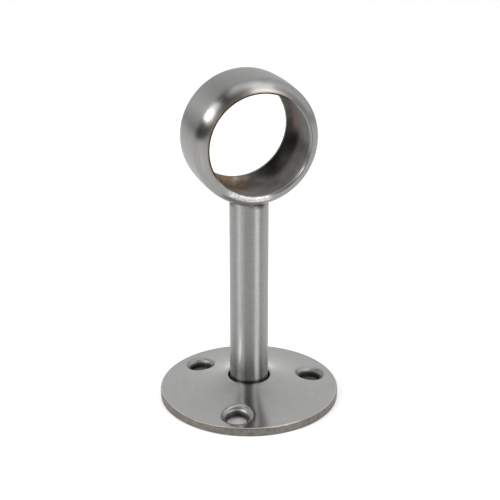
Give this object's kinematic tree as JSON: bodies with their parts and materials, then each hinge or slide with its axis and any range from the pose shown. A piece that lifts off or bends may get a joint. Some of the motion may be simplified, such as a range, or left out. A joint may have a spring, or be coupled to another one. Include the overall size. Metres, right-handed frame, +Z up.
{
  "type": "handrail bracket",
  "caption": "Round handrail bracket: a crowned collar for a rail on a tube stem, welded to a dished flange with countersunk screw holes.",
  "frame": {"origin": "centre of the flange's flat underside, on the wall or floor plane", "axes": "+Z up the stem towards the collar, +Y along the rail's axis through the collar, +X across the rail"},
  "size_m": [0.047, 0.047, 0.0877],
  "materials": {
    "satin_steel": "satin, fine brushed lines round the stem and collar",
    "weld_metal": "dull, slightly heat tinted"
  },
  "bodies": {
    "root": {"rail_collar": "satin_steel", "stem_tube": "satin_steel", "base_flange": "satin_steel", "collar_weld": "weld_metal", "base_weld": "weld_metal"}
  },
  "joints": []
}
